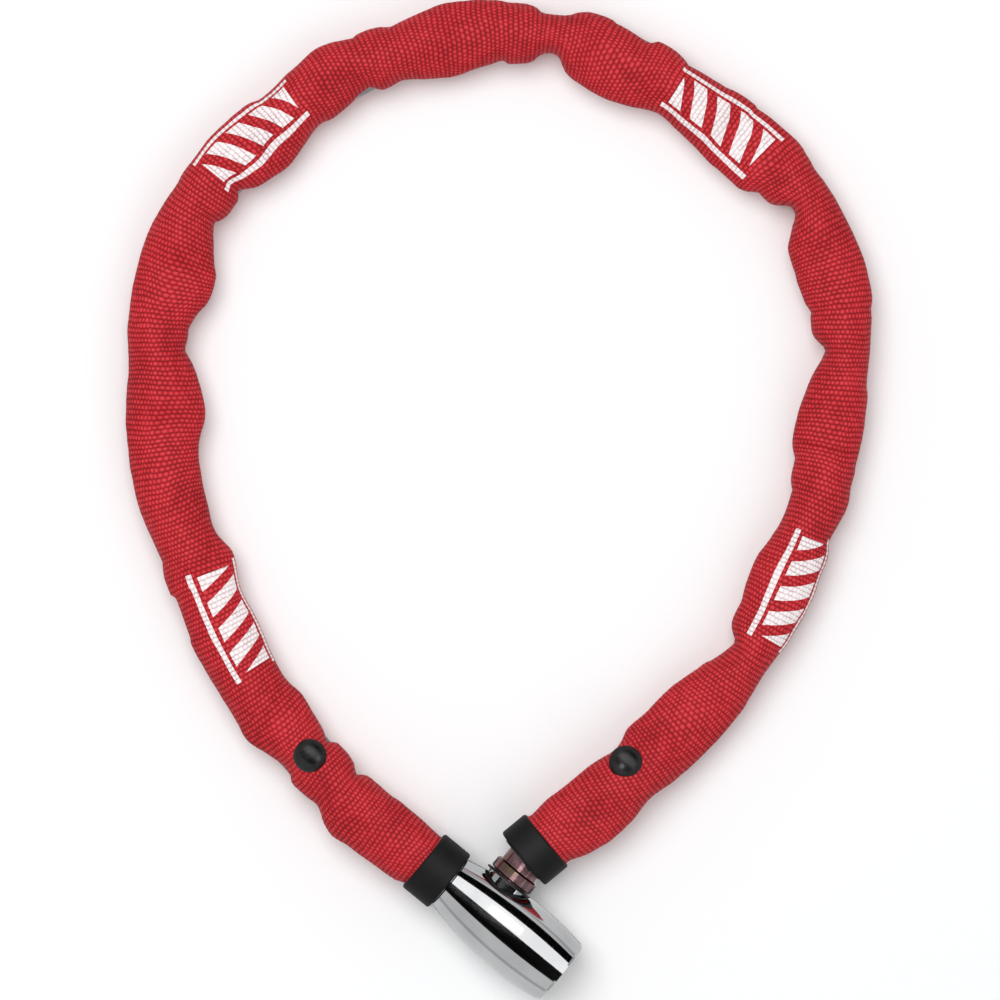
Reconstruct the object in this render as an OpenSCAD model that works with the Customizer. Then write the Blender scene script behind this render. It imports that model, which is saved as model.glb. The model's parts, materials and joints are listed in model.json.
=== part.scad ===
// Chain lock: a cylinder lock barrel, a plug-in stud and a fabric-sleeved loop of welded links.
// Millimetres, +Z up. The origin is on the floor, under the middle of the closed loop.

/* [Barrel] */
// Length of the barrel between its tail face and its key face
barrel_len = 39; // [38.6:0.1:40]
// Greatest radius of the barrel
barrel_r = 10.6; // [10.5:0.05:10.9]
// How far along the barrel the stud's bore is
bore_at = 12.3; // [12.2:0.05:12.5]
// Diameter of the stud's nose
nose_d = 8; // [7.6:0.1:8.1]

/* [Chain] */
// Thickness of the links' wire
wire = 4; // [3.8:0.1:4]
// Length of a link's opening
link_inner_len = 22.7; // [22.5:0.1:22.9]
// Width of a link's opening
link_inner_w = 6; // [5.9:0.1:6]

/* [Sleeve] */
// Thickness of the cloth sleeve's wall
cloth = 0.6; // [0.5:0.05:0.7]
// Half of the sleeve's height
sleeve_half_h = 8.1; // [8.05:0.05:8.2]
// Outer diameter of the two end collars
collar_d = 18.3; // [18.2:0.1:18.6]

/* [Lock] */
// Turn of the key plug: 0 lets the stud go, 90 holds it
key_angle = 0; // [0:5:90]
// Thickness of each wafer
wafer_t = 1; // [0.8:0.1:1.1]

/* [Hidden] */
$fn = 96;
LINKS = 29;
link_names = [for (i = [1 : LINKS]) str("link_", i < 10 ? "0" : "", i)];

// The barrel's frame: x along its axis from the tail face, y along the stud, z up.
tail = [-13.4, -103, barrel_r];
barrel_turn = -39.4;
// Its sides are one arc, fullest at this distance from the tail.
belly_at = 23.5;
belly_arc_r = 93;

// Stud, along +y from the barrel's axis.
nose_tip = -4.5;
head_top = 2.2;
groove_top = 6.8;
groove_r = 2.3;
flange_y = 10.8;
flange_r = 6.55;
neck_y = 14.2;
neck_r = 5.55;
clevis_end = 26.4;
cross_pin_y = 24;
pin_r = 2;
slot_h = wire + 0.6;
nose_r = nose_d / 2;
bush_y = 7.25;
bush_tube_r = 5.3;
bush_lip_y = 9.95;
bush_lip_r = 7.2;
bush_lip_t = 0.4;

// Lock core.
core_x = 20;
core_r = 7.5;
plug_r = 5;
plug_x = 19.2;
plug_end = barrel_len - 0.8;
cam_x = 16.9;
cam_t = 1.6;
cam_r = 6.3;
cam_pin_at = 5;
cam_pin_r = 1.1;
cam_pin_tip = 14.9;
wafer_count = 5;
wafer_x = 22.4;
wafer_pitch = 2.6;

// Collars and sleeve ends.
crimp_t = 0.3;
spigot_r = 6.95;
sleeve_end_r = 7.75;
// The sleeve's end is a polygon, so the crimp ring goes round its corners.
crimp_inner_r = sleeve_end_r / cos(15) + 0.05;
collar_len = 9.2;
stud_collar_len = 8.2;
stud_collar_y = 17.3;
stud_collar_tilt = 11;
anchor_x = -3;

function in_barrel(p) = [
    tail.x + p.x * cos(barrel_turn) - p.y * sin(barrel_turn),
    tail.y + p.x * sin(barrel_turn) + p.y * cos(barrel_turn),
    tail.z
];

// The stud's collar tips back from the stud; their axes cross this far from the barrel's axis.
stud_collar_cross = in_barrel([bore_at, 21.5]);
stud_collar_turn = barrel_turn + 90 - stud_collar_tilt;
function on_stud_collar(x) = [
    stud_collar_cross.x + (x - 4.3) * cos(stud_collar_turn),
    stud_collar_cross.y + (x - 4.3) * sin(stud_collar_turn)
];

// The chain's middle line lies flat in a loop, from the tail face to the stud's collar.
route = concat(
    [for (x = [0, -12, -24]) [in_barrel([x, 0]).x, in_barrel([x, 0]).y]],
    [
        [-53.5, -67.5], [-72.5, -42.5], [-88.5, -3], [-93, 24], [-90, 62], [-74.5, 89.5], [-48, 112],
        [-16, 124.5], [20, 125], [50, 110.5], [76, 89.5], [91.5, 60], [91, 24], [82.5, -9.5],
        [67.5, -40.5], [46.5, -66]
    ],
    [for (x = [22, 10, 0]) on_stud_collar(x)]
);
steps = 12;
function spline(a, b, c, d, t) =
    0.5 * (2 * b + (c - a) * t + (2 * a - 5 * b + 4 * c - d) * t * t
        + (3 * b - a - 3 * c + d) * t * t * t);
last = len(route) - 1;
function route_at(i) = route[max(0, min(last, i))];
path = [
    for (i = [0 : last - 1], k = [0 : steps - 1])
        spline(route_at(i - 1), route_at(i), route_at(i + 1), route_at(i + 2), k / steps),
    route[last]
];
function run(i, total) =
    i == len(path) ? [] : concat([total], run(i + 1, total + norm(path[min(i + 1, len(path) - 1)] - path[i])));
along = run(0, 0);
route_len = along[len(path) - 1];
path_x = [for (i = [0 : len(path) - 1]) [along[i], path[i].x]];
path_y = [for (i = [0 : len(path) - 1]) [along[i], path[i].y]];
// Height of the middle line: it rises to the barrel's axis at both ends.
rise = [
    [0, barrel_r], [26, barrel_r], [56, sleeve_half_h],
    [route_len - 56, sleeve_half_h], [route_len - 28, barrel_r], [route_len, barrel_r]
];
function at(s) = [lookup(s, path_x), lookup(s, path_y), lookup(s, rise)];
function beside(s, inwards) =
    let(d = at(s + 1) - at(s - 1))
    [at(s).x + d.y / norm(d) * inwards, at(s).y - d.x / norm(d) * inwards, at(s).z - sleeve_half_h];

// Links: [number, place along the middle line]. The chain is drawn nearly taut but for a slack stretch.
first_link = -anchor_x + link_inner_len / 2 - pin_r - 0.3;
last_link = route_len - (cross_pin_y - stud_collar_y) - link_inner_len / 2 + pin_r + 0.3;
link_places = [[0, first_link], [9, 209.5], [15, 324], [LINKS - 1, last_link]];
link_reach = 11.5;

// How far the cloth bags out on the loop's inner side: [place, distance from the middle line].
cloth_in = [
    [13, 8.2], [24, 9.6], [33, 10], [46, 8.4], [66, 11.6], [77, 10], [95, 11], [112, 11.2], [119, 9.2],
    [137, 11.4], [157, 13.8], [175, 8.2], [193, 13.8], [209, 9.4], [218, 8.2], [236, 12.2], [253, 8.6],
    [262, 10.2], [278, 8.2], [298, 11.6], [312, 10], [324, 8.2], [343, 11.8], [364, 8.2], [390, 12.2],
    [410, 8.2], [428, 11.4], [450, 8.2], [478, 11], [492, 8.2], [504, 8.2], [523, 10.6], [541, 8.2],
    [567, 11.8], [580, 10.6], [600, 10.6], [612, 8.2]
];
cloth_out = 8.2;
sleeve_sides = 12;
sleeve_ring_gap = 10.5;
sleeve_cut = 478;
sleeve_split_gap = 0.3;
sleeve_start = 0.6;
clamp_len = 10;

rivet_head_r = 4.5;
rivet_head_z = 15.6;
rivet_dome = 2.2;
rivet_shank_r = 1.5;
rivet_cap_r = 3.4;
rivet_cap_z = 0;
rivet_cap_t = 0.9;
rivet_left_at = beside(51, 1);
rivet_right_at = beside(583, 4.4);

chrome = [0.82, 0.83, 0.85];
steel = [0.62, 0.63, 0.64];
chromate = [0.66, 0.58, 0.52];
brass = [0.78, 0.62, 0.32];
black = [0.13, 0.13, 0.14];
red = [0.76, 0.13, 0.18];

module in_barrel_frame() {
    translate(tail)
        rotate([0, 0, barrel_turn])
            children();
}

// Turns a shape drawn along +z so that it runs along +x.
module along_x(x = 0) {
    translate([x, 0, 0])
        rotate([0, 90, 0])
            children();
}

// Turns a shape drawn along +z so that it runs along the stud's axis.
module along_stud(y = 0) {
    translate([bore_at, y, 0])
        rotate([-90, 0, 0])
            children();
}

module in_stud_collar_frame() {
    translate([on_stud_collar(0).x, on_stud_collar(0).y, tail.z])
        rotate([0, 0, stud_collar_turn])
            children();
}

module ring(outer_r, inner_r, h) {
    difference() {
        cylinder(r = outer_r, h = h);
        translate([0, 0, -1])
            cylinder(r = inner_r, h = h + 2);
    }
}

// Barrel side profile, with its edge broken at the key face.
module barrel_profile() {
    edge_r = barrel_r - belly_arc_r + sqrt(pow(belly_arc_r, 2) - pow(barrel_len - belly_at, 2));
    intersection() {
        translate([barrel_r - belly_arc_r, belly_at])
            circle(r = belly_arc_r, $fn = 360);
        polygon([
            [0, 0], [20, 0], [20, barrel_len - 2], [edge_r + 0.02, barrel_len - 0.8],
            [edge_r - 0.2, barrel_len - 0.25], [edge_r - 0.75, barrel_len], [0, barrel_len]
        ]);
    }
}

module barrel() {
    color(chrome)
        in_barrel_frame()
            difference() {
                union() {
                    along_x()
                        rotate_extrude()
                            barrel_profile();
                    along_x(-7.5)
                        cylinder(r = spigot_r - 0.1, h = 8);
                    // Boss round the bush.
                    along_stud(bush_y - 1)
                        cylinder(r = bush_tube_r + 0.9, h = bush_lip_y - bush_y + 0.95);
                }
                // Core bore, and the cam's chamber behind it.
                along_x(core_x - 0.1)
                    cylinder(r = core_r + 0.05, h = barrel_len);
                along_x(cam_pin_tip - 0.3)
                    cylinder(r = cam_r + 0.4, h = 10);
                // Stud bore and the bush's seat.
                along_stud(nose_tip - 0.8)
                    cylinder(r = nose_r + 0.1, h = 20);
                along_stud(bush_y - 0.05)
                    cylinder(r = bush_tube_r + 0.05, h = 10);
                along_stud(bush_lip_y - 0.05)
                    cylinder(r = bush_lip_r + 0.1, h = 10);
                // Pocket for the first link, and the bore of its pin.
                translate([-8, -7.3, -slot_h / 2])
                    cube([12, 14.6, slot_h]);
                translate([anchor_x, 0, -8])
                    cylinder(r = pin_r + 0.02, h = 16);
                // Blind bore for the core's set pin.
                translate([35, 0, -12])
                    cylinder(r = 1.02, h = 6);
            }
}

// The bush lines the bore's mouth, and its thin lip lies between the barrel and the stud's flange.
module bore_bush() {
    color(black)
        in_barrel_frame()
            difference() {
                union() {
                    along_stud(bush_y)
                        cylinder(r = bush_tube_r, h = bush_lip_y - bush_y + 0.2);
                    along_stud(bush_lip_y)
                        cylinder(r = bush_lip_r, h = bush_lip_t);
                }
                along_stud(bush_y - 1)
                    cylinder(r = nose_r + 0.35, h = 6);
            }
}

module anchor_pin() {
    color(steel)
        in_barrel_frame()
            translate([anchor_x, 0, -6.3])
                cylinder(r = pin_r, h = 12.6);
}

// A rubber collar with rounded rims, drawn along +z.
module collar(length) {
    inner_r = crimp_inner_r + crimp_t + 0.05;
    outer_r = collar_d / 2;
    rim = 0.7;
    rotate_extrude()
        union() {
            translate([inner_r, rim])
                square([outer_r - inner_r, length - 2 * rim]);
            translate([inner_r, 0])
                square([outer_r - inner_r - rim, length]);
            intersection() {
                union() {
                    translate([outer_r - rim, rim])
                        circle(r = rim, $fn = 48);
                    translate([outer_r - rim, length - rim])
                        circle(r = rim, $fn = 48);
                }
                translate([inner_r, 0])
                    square([outer_r - inner_r, length]);
            }
        }
}

module collar_lock_end() {
    color(black)
        in_barrel_frame()
            along_x(-collar_len)
                collar(collar_len - 0.1);
}

module crimp_ring_lock_end() {
    color(steel)
        in_barrel_frame()
            along_x(-6.5)
                ring(crimp_inner_r + crimp_t, crimp_inner_r, 4);
}

module collar_stud_end() {
    color(black)
        in_stud_collar_frame()
            along_x()
                collar(stud_collar_len);
}

module crimp_ring_stud_end() {
    color(steel)
        in_stud_collar_frame()
            along_x(2)
                ring(crimp_inner_r + crimp_t, crimp_inner_r, 4);
}

module stud_ferrule() {
    color(black)
        difference() {
            in_stud_collar_frame()
                along_x(-0.4)
                    cylinder(r = spigot_r - 0.1, h = 2.6);
            in_barrel_frame()
                along_stud(neck_y)
                    cylinder(r = neck_r + 0.05, h = 20);
        }
}

module core_shell() {
    color(brass)
        in_barrel_frame()
            difference() {
                along_x(core_x)
                    cylinder(r = core_r, h = barrel_len - 1.6 - core_x);
                along_x(core_x - 1)
                    cylinder(r = plug_r + 0.05, h = 30);
                // Channels that the wafers' ends drop into.
                translate([wafer_x - 0.6, -6.6, -1.9])
                    cube([wafer_count * wafer_pitch, 13.2, 3.8]);
                translate([35, 0, -8])
                    cylinder(r = 1.02, h = 2.9);
            }
}

module core_set_pin() {
    color(steel)
        in_barrel_frame()
            translate([35, 0, -9.2])
                cylinder(r = 1, h = 4.05);
}

module key_plug() {
    color(brass)
        in_barrel_frame()
            rotate([-key_angle, 0, 0])
                difference() {
                    along_x(plug_x)
                        cylinder(r = plug_r, h = plug_end - plug_x);
                    // Keyway.
                    translate([wafer_x - 1, -0.6, -3.4])
                        cube([barrel_len, 1.2, 6.8]);
                    // Slots across the plug for the wafers.
                    for (i = [0 : wafer_count - 1])
                        translate([wafer_x + i * wafer_pitch - 0.05, -6, -1.75])
                            cube([wafer_t + 0.1, 12, 3.5]);
                    along_x(plug_x - 1)
                        cylinder(r = 0.82, h = 3);
                }
}

module plug_cam() {
    color(steel)
        in_barrel_frame()
            rotate([-key_angle, 0, 0])
                difference() {
                    union() {
                        along_x(cam_x)
                            cylinder(r = cam_r, h = cam_t);
                        translate([0, 0, cam_pin_at])
                            along_x(cam_pin_tip)
                                cylinder(r = cam_pin_r, h = cam_x - cam_pin_tip + 0.5);
                        along_x(cam_x)
                            cylinder(r = 3.4, h = plug_x - cam_x);
                    }
                    along_x(cam_x)
                        rotate_extrude()
                            polygon([[0, -0.2], [1.95, -0.2], [0.87, 0.88], [0.87, 8], [0, 8]]);
                }
}

module cam_screw() {
    color(steel)
        in_barrel_frame()
            rotate([-key_angle, 0, 0])
                difference() {
                    union() {
                        along_x(cam_x + 0.05)
                            cylinder(r1 = 1.65, r2 = 0.8, h = 0.85);
                        along_x(cam_x + 0.5)
                            cylinder(r = 0.8, h = 3.4);
                    }
                    translate([cam_x - 0.5, -0.2, -3])
                        cube([0.9, 0.4, 6]);
                }
}

module wafer() {
    difference() {
        translate([0, -4.6, -1.65])
            cube([wafer_t, 9.2, 3.3]);
        translate([-1, -2.1, -0.95])
            cube([wafer_t + 2, 3.6, 1.9]);
        translate([-1, 2.6, -2])
            cube([wafer_t + 2, 1.6, 1.2]);
    }
}

module wafers() {
    color(brass)
        in_barrel_frame()
            rotate([-key_angle, 0, 0])
                for (i = [0 : wafer_count - 1])
                    translate([wafer_x + i * wafer_pitch, 0, 0])
                        wafer();
}

module wafer_springs() {
    color(steel)
        in_barrel_frame()
            rotate([-key_angle, 0, 0])
                for (i = [0 : wafer_count - 1])
                    translate([wafer_x + i * wafer_pitch + wafer_t / 2, 2.7, -1.3])
                        rotate([-90, 0, 0])
                            difference() {
                                cylinder(r = 0.4, h = 1.4);
                                translate([0, 0, -1])
                                    cylinder(r = 0.22, h = 4);
                            }
}

module face_ring() {
    color(chrome)
        in_barrel_frame()
            along_x(barrel_len - 1.5)
                ring(core_r, plug_r + 0.1, 1.3);
}

module stud() {
    color(chromate)
        in_barrel_frame()
            difference() {
                along_stud()
                    rotate_extrude()
                        polygon([
                            [0, nose_tip], [nose_r - 1.4, nose_tip], [nose_r, nose_tip + 1.6],
                            [nose_r, head_top], [groove_r, head_top], [groove_r, groove_top],
                            [nose_r, groove_top], [nose_r, flange_y], [flange_r - 0.4, flange_y],
                            [flange_r, flange_y + 0.4], [flange_r, neck_y - 0.5], [flange_r - 0.5, neck_y],
                            [neck_r, neck_y], [neck_r, clevis_end - 0.6], [neck_r - 0.6, clevis_end],
                            [0, clevis_end]
                        ]);
                // Slot for the last link, across the clevis.
                translate([bore_at - 8, stud_collar_y + 0.2, -slot_h / 2])
                    cube([16, 12, slot_h]);
                translate([bore_at, cross_pin_y, -8])
                    cylinder(r = pin_r + 0.02, h = 16);
            }
}

module stud_cross_pin() {
    color(steel)
        in_barrel_frame()
            translate([bore_at, cross_pin_y, -5])
                cylinder(r = pin_r, h = 10);
}

// Wire section of a link: a square with its corners cut.
module wire_section() {
    cut = 1.15;
    h = wire / 2;
    polygon([
        [-h, cut - h], [cut - h, -h], [h - cut, -h], [h, cut - h],
        [h, h - cut], [h - cut, h], [cut - h, h], [-h, h - cut]
    ]);
}

// One welded link, lying in the x-y plane with its length along x.
module link_shape() {
    bend_r = (link_inner_w + wire) / 2;
    straight = link_inner_len - link_inner_w;
    for (side = [-1, 1]) {
        translate([side * straight / 2, 0, 0])
            rotate([0, 0, -side * 90])
                rotate_extrude(angle = 180)
                    translate([bend_r, 0])
                        wire_section();
        translate([-straight / 2, side * bend_r, 0])
            rotate([90, 0, 90])
                linear_extrude(straight)
                    wire_section();
    }
}

module chain_link(i) {
    s = lookup(i, link_places);
    d = at(s + link_reach) - at(s - link_reach);
    color(steel)
        translate((at(s + link_reach) + at(s - link_reach)) / 2)
            rotate([0, 0, atan2(d.y, d.x)])
                rotate([0, -atan2(d.z, norm([d.x, d.y])), 0])
                    rotate([i % 2 * 90, 0, 0])
                        link_shape();
}

// A ring of the sleeve's section: half an oval on the loop's outer side, and a wider half on its inner side.
function section(s, inset) =
    let(
        p = at(s),
        d = at(min(s + 1, route_len)) - at(max(s - 1, 0)),
        out = [-d.y, d.x] / norm([d.x, d.y]),
        clamp = lookup(s, [[clamp_len, 1], [24, 0], [route_len - 24, 0], [route_len - clamp_len, 1]]),
        side_out = clamp * sleeve_end_r + (1 - clamp) * cloth_out,
        side_in = clamp * sleeve_end_r + (1 - clamp) * lookup(s, cloth_in),
        half_h = clamp * sleeve_end_r + (1 - clamp) * sleeve_half_h
    ) [
        for (k = [0 : sleeve_sides - 1])
            let(
                t = (k + 0.5) * 360 / sleeve_sides,
                w = (cos(t) > 0 ? side_out : side_in) - inset,
                grow = 1 / cos(180 / sleeve_sides)
            ) [
                p.x + out.x * w * cos(t) * grow,
                p.y + out.y * w * cos(t) * grow,
                p.z + (half_h - inset) * sin(t) * grow
            ]
    ];

// The sleeve between two places along the route: an outer skin, an inner skin and two end rings.
module sleeve(from, to) {
    n = sleeve_sides;
    rings = ceil((to - from) / sleeve_ring_gap);
    places = [for (r = [0 : rings]) from + (to - from) * r / rings];
    points = concat(
        [for (s = places) each section(s, 0)],
        [for (s = places) each section(s, cloth)]
    );
    base = (rings + 1) * n;
    function next(k) = (k + 1) % n;
    polyhedron(points, concat(
        [for (r = [0 : rings - 1], k = [0 : n - 1])
            [r * n + next(k), r * n + k, (r + 1) * n + k, (r + 1) * n + next(k)]],
        [for (r = [0 : rings - 1], k = [0 : n - 1])
            [base + r * n + k, base + r * n + next(k), base + (r + 1) * n + next(k), base + (r + 1) * n + k]],
        [for (k = [0 : n - 1]) [k, next(k), base + next(k), base + k]],
        [for (k = [0 : n - 1])
            [rings * n + k, base + rings * n + k, base + rings * n + next(k), rings * n + next(k)]]
    ));
}

// The room that a rivet and its cap take out of the sleeve.
module rivet_room(place) {
    gap = 0.15;
    translate(place) {
        translate([0, 0, -2])
            cylinder(r = rivet_shank_r + gap, h = 22);
        translate([0, 0, rivet_head_z - gap])
            cylinder(r = rivet_head_r + gap, h = 4);
        translate([0, 0, -2])
            cylinder(r = rivet_cap_r + gap, h = 2 + rivet_cap_z + rivet_cap_t + gap);
    }
}

module sleeve_main() {
    color(red)
        difference() {
            sleeve(sleeve_start, sleeve_cut);
            rivet_room(rivet_left_at);
        }
}

module sleeve_end() {
    color(red)
        difference() {
            sleeve(sleeve_cut + sleeve_split_gap, route_len - sleeve_start);
            rivet_room(rivet_right_at);
        }
}

// A domed rivet with a plain shank.
module rivet(place) {
    dome_r = (pow(rivet_head_r, 2) + pow(rivet_dome, 2)) / (2 * rivet_dome);
    translate(place) {
        translate([0, 0, rivet_head_z])
            rotate_extrude()
                intersection() {
                    translate([0, rivet_dome - dome_r])
                        circle(r = dome_r, $fn = 180);
                    square([rivet_head_r, rivet_dome]);
                }
        translate([0, 0, rivet_cap_z + 0.3])
            cylinder(r = rivet_shank_r - 0.5, h = rivet_head_z);
    }
}

// The cap that closes a rivet underneath: a disc with a tube that the shank snaps into.
module rivet_cap(place) {
    translate(place + [0, 0, rivet_cap_z])
        difference() {
            union() {
                cylinder(r = rivet_cap_r, h = rivet_cap_t);
                cylinder(r = rivet_shank_r, h = 6);
            }
            translate([0, 0, 0.25])
                cylinder(r = rivet_shank_r - 0.48, h = 8);
        }
}

module rivet_left() {
    color(black)
        rivet(rivet_left_at);
}

module rivet_left_cap() {
    color(black)
        rivet_cap(rivet_left_at);
}

module rivet_right() {
    color(black)
        rivet(rivet_right_at);
}

module rivet_right_cap() {
    color(black)
        rivet_cap(rivet_right_at);
}

barrel();
bore_bush();
anchor_pin();
collar_lock_end();
crimp_ring_lock_end();
core_shell();
core_set_pin();
key_plug();
plug_cam();
cam_screw();
wafers();
wafer_springs();
face_ring();
stud();
stud_cross_pin();
stud_ferrule();
collar_stud_end();
crimp_ring_stud_end();
rivet_left();
rivet_left_cap();
rivet_right();
rivet_right_cap();
sleeve_main();
sleeve_end();
for (i = [0 : LINKS - 1])
    chain_link(i);
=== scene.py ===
# %% [markdown]
# # A chain lock in a woven sleeve
# A chromed cylinder lock barrel takes a plug-in stud at its side. Welded links join the two ends inside a woven
# tube, so from outside the chain is only felt as the lumps and waists of the cloth.
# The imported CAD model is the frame: every piece below sits in its coordinates, in metres, with +Z up.

# %% Load the frame
import json
import math

import bmesh
import bpy
from mathutils import Matrix, Vector, kdtree, noise


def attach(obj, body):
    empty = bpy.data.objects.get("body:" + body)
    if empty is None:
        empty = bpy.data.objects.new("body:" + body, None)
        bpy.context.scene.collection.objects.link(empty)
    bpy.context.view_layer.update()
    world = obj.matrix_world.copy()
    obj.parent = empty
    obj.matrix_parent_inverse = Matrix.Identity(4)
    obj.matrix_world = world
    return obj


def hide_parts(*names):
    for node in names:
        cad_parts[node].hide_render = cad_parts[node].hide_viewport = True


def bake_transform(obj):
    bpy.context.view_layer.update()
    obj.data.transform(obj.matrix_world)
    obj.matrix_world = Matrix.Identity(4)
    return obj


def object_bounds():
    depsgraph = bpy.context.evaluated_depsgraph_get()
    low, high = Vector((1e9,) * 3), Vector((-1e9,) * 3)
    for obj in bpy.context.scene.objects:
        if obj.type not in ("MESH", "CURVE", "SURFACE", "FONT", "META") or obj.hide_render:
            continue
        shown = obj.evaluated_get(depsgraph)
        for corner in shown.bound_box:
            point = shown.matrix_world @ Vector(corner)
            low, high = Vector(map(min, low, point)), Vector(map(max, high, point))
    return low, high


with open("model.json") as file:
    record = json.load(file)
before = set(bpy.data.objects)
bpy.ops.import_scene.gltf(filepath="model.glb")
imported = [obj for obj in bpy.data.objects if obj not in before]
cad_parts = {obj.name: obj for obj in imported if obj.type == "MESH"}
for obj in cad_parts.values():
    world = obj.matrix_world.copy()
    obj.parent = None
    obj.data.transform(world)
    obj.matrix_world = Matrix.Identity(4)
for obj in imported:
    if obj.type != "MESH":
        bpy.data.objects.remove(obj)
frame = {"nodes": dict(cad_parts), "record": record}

CAD_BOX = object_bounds()
MM = 0.001

# %% [markdown]
# ## Camera
# The lock lies flat and is looked at from straight above. A long lens from 1.5 m away keeps the perspective
# weak, as in a catalogue picture. The view is as wide as the closed loop is long.

# %% Camera
VIEW_WIDTH = 270 * MM
LENS, SENSOR = 200, 36
LOOK_AT = Vector((0.14, 0, 10)) * MM

camera_data = bpy.data.cameras.new("camera")
camera_data.lens, camera_data.sensor_width = LENS, SENSOR
camera_data.clip_start, camera_data.clip_end = 0.05, 20
camera = bpy.data.objects.new("camera", camera_data)
camera.location = LOOK_AT + Vector((0, 0, VIEW_WIDTH * LENS / SENSOR))
bpy.context.scene.collection.objects.link(camera)
bpy.context.scene.camera = camera
print("camera height", round(camera.location.z, 3), "m")

# %% [markdown]
# ## The middle line of the chain
# The sleeve follows the same line as the links. It leaves the barrel's tail, goes round the loop clockwise and
# comes back to the stud's collar. A Catmull-Rom curve through a few fitted points gives a smooth line, and
# distances along it say where each lump, waist, print and rivet is.

# %% The barrel's own frame
TAIL = Vector((-13.4, -103, 10.6))
BARREL_TURN = math.radians(-39.4)
ALONG = Vector((math.cos(BARREL_TURN), math.sin(BARREL_TURN), 0))
ACROSS = Vector((-math.sin(BARREL_TURN), math.cos(BARREL_TURN), 0))
BORE_AT, STUD_COLLAR_AT, STUD_TILT = 12.3, 21.5, math.radians(11)
stud_turn = BARREL_TURN + math.pi / 2 - STUD_TILT
stud_way = Vector((math.cos(stud_turn), math.sin(stud_turn), 0))
stud_collar = TAIL + ALONG * BORE_AT + ACROSS * STUD_COLLAR_AT - stud_way * 4.3

# %% The route
ROUTE_MIDDLE = [
    (-53.5, -67.5), (-72.5, -42.5), (-88.5, -3), (-93, 24), (-90, 62), (-74.5, 89.5), (-48, 112), (-16, 124.5),
    (20, 125), (50, 110.5), (76, 89.5), (91.5, 60), (91, 24), (82.5, -9.5), (67.5, -40.5), (46.5, -66),
]
STEPS = 12


def on_barrel(x):
    return (TAIL + ALONG * x).to_2d()


def on_stud(x):
    return (stud_collar + stud_way * x).to_2d()


knots = [on_barrel(x) for x in (0, -12, -24)]
knots += [Vector(p) for p in ROUTE_MIDDLE]
knots += [on_stud(x) for x in (22, 10, 0)]


def between(a, b, c, d, t):
    return 0.5 * (2 * b + (c - a) * t + (2 * a - 5 * b + 4 * c - d) * t**2 + (3 * b - a - 3 * c + d) * t**3)


route = []
for i in range(len(knots) - 1):
    four = [knots[max(0, min(len(knots) - 1, i + k))] for k in (-1, 0, 1, 2)]
    route += [between(*four, t / STEPS) for t in range(STEPS)]
route.append(knots[-1])

run = [0.0]
for a, b in zip(route, route[1:]):
    run.append(run[-1] + (b - a).length)
LENGTH = run[-1]
print("chain line", round(LENGTH, 1), "mm with", len(route), "points")

# %% Reading the route


def line_value(table, s):
    """Straight line between the rows (place, value) of a table."""
    if s <= table[0][0]:
        return table[0][1]
    for (s0, v0), (s1, v1) in zip(table, table[1:]):
        if s <= s1:
            return v0 + (v1 - v0) * (s - s0) / (s1 - s0)
    return table[-1][1]


RISE = [(0, 10.6), (26, 10.6), (56, 8.1), (LENGTH - 56, 8.1), (LENGTH - 28, 10.6), (LENGTH, 10.6)]
route_x = [(d, p.x) for d, p in zip(run, route)]
route_y = [(d, p.y) for d, p in zip(run, route)]


def at(s):
    return Vector((line_value(route_x, s), line_value(route_y, s), line_value(RISE, s)))


def outwards(s):
    """Level direction from the middle line to the loop's outer side."""
    d = at(min(s + 3, LENGTH)) - at(max(s - 3, 0))
    return Vector((-d.y, d.x, 0)).normalized()


# %% [markdown]
# ## Materials
# Every finish is procedural. Colours are written as the sRGB values a maker would match to a swatch, and one
# function turns them to the linear values that the shader works in. One small function adds a node together
# with its settings and what feeds it, and a node that feeds another gives its first output.
# A noise's scale is its number of blotches in a metre, so a scale of 500 stands for blotches 2 mm wide.

# %% Colours and nodes


def srgb(hexa):
    parts = [int(hexa[i:i + 2], 16) / 255 for i in (1, 3, 5)]
    return tuple(c / 12.92 if c <= 0.04045 else ((c + 0.055) / 1.055) ** 2.4 for c in parts) + (1.0,)


def add(material, kind, feeds=None, colours=(), **settings):
    """Adds a node. feeds maps inputs to values, nodes or outputs, and colours has a ramp's (place, hex) stops."""
    tree = material.node_tree
    node = tree.nodes.new(kind)
    for name, value in settings.items():
        setattr(node, name, value)
    for name, value in (feeds or {}).items():
        if isinstance(value, bpy.types.Node):
            value = value.outputs[0]
        if isinstance(value, bpy.types.NodeSocket):
            tree.links.new(value, node.inputs[name])
        else:
            node.inputs[name].default_value = value
    if colours:
        stops = node.color_ramp.elements
        while len(stops) < len(colours):
            stops.new(1.0)
        for stop, (place, hexa) in zip(stops, colours):
            stop.position, stop.color = place, srgb(hexa)
    return node


def begin(name, **values):
    """A new material and its shader, with its constant values set on the shader's own sockets."""
    material = bpy.data.materials.new(name)
    material.use_nodes = True
    shader = material.node_tree.nodes["Principled BSDF"]
    for socket, value in values.items():
        shader.inputs[socket.replace("_", " ")].default_value = value
    return material, shader


def feed(material, shader, **nodes):
    """Links nodes' first outputs to the shader's sockets."""
    for socket, node in nodes.items():
        material.node_tree.links.new(node.outputs[0], shader.inputs[socket.replace("_", " ")])


# %% [markdown]
# ### Chrome plate
# The barrel is a zinc die casting, polished and plated with bright chrome. The plate is a near mirror, a little
# cool, with a very long soft waviness left by the polishing wheel and fine hairline wipes along the barrel.

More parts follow.
